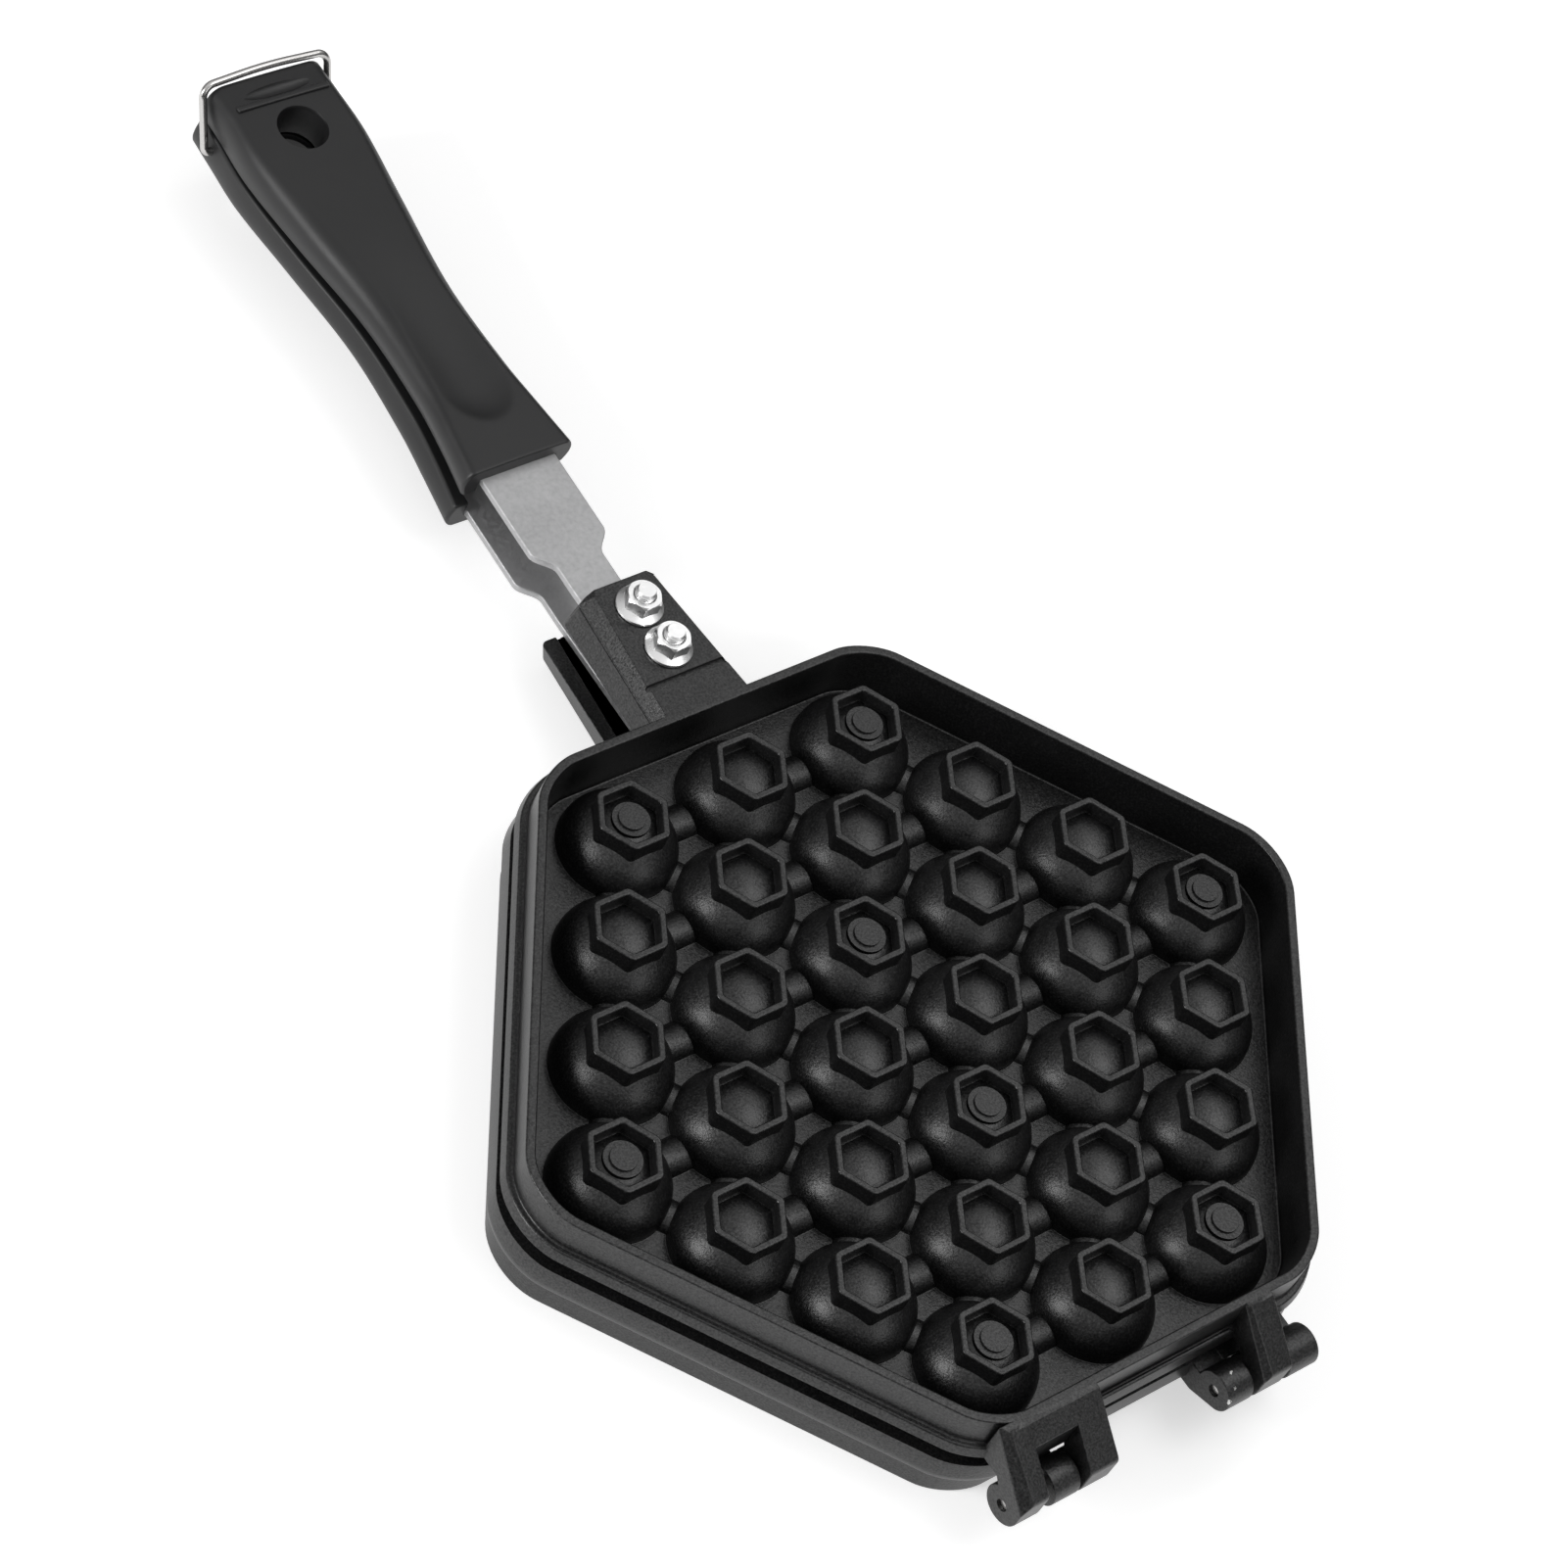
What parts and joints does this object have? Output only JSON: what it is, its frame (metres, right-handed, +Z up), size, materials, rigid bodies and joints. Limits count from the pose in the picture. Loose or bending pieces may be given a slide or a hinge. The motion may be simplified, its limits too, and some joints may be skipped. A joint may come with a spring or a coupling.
{
  "type": "egg waffle pan",
  "caption": "Hinged two-part stovetop pan that bakes batter in rows of round cells, with a long split grip closed by a wire bail.",
  "frame": {"origin": "centre of the lower rim's resting face, on the plane that the pan rests on", "axes": "+Z up, the handle points to -Y, the hinge is at +Y, +X to the side"},
  "size_m": [0.2212, 0.397, 0.0393],
  "materials": {
    "coated_casting": "matte non-stick coating, slightly grained",
    "strip_steel": "ground flat steel strip",
    "grip_plastic": "satin moulded bakelite",
    "zinc_fastener": "bright zinc plate",
    "pin_steel": "plain drawn steel",
    "screw_steel": "zinc plate, dull",
    "bail_wire": "polished spring steel wire"
  },
  "bodies": {
    "lower_half": {"lower_cell_row_1": "coated_casting", "lower_cell_row_2": "coated_casting", "lower_cell_row_3": "coated_casting", "lower_cell_row_4": "coated_casting", "lower_cell_row_5": "coated_casting", "lower_cell_row_6": "coated_casting", "lower_cell_row_7": "coated_casting", "lower_rim": "coated_casting", "lower_handle_bracket": "coated_casting", "lower_hinge_clevis": "coated_casting", "lower_hinge_tongue": "coated_casting", "lower_hinge_pin": "pin_steel", "lower_strip": "strip_steel", "lower_bolts": "zinc_fastener", "lower_flange_nuts": "zinc_fastener", "lower_grip": "grip_plastic", "lower_grip_screws": "screw_steel"},
    "upper_half": {"upper_cell_row_1": "coated_casting", "upper_cell_row_2": "coated_casting", "upper_cell_row_3": "coated_casting", "upper_cell_row_4": "coated_casting", "upper_cell_row_5": "coated_casting", "upper_cell_row_6": "coated_casting", "upper_cell_row_7": "coated_casting", "upper_rim": "coated_casting", "upper_handle_bracket": "coated_casting", "upper_hinge_clevis": "coated_casting", "upper_hinge_tongue": "coated_casting", "upper_hinge_pin": "pin_steel", "upper_strip": "strip_steel", "upper_bolts": "zinc_fastener", "upper_flange_nuts": "zinc_fastener", "upper_grip": "grip_plastic", "upper_grip_screws": "screw_steel"},
    "bail": {"bail": "bail_wire"}
  },
  "joints": [
    {"name": "lid_hinge", "type": "hinge", "parent": "lower_half", "child": "upper_half", "pos_m": [0, 0.1012, 0.0165], "axis": [-1, 0, 0], "range_deg": [0, 175]},
    {"name": "bail_swing", "type": "hinge", "parent": "lower_half", "child": "bail", "pos_m": [0, -0.28152, 0.01945], "axis": [1, 0, 0], "range_deg": [-18, 140]}
  ]
}
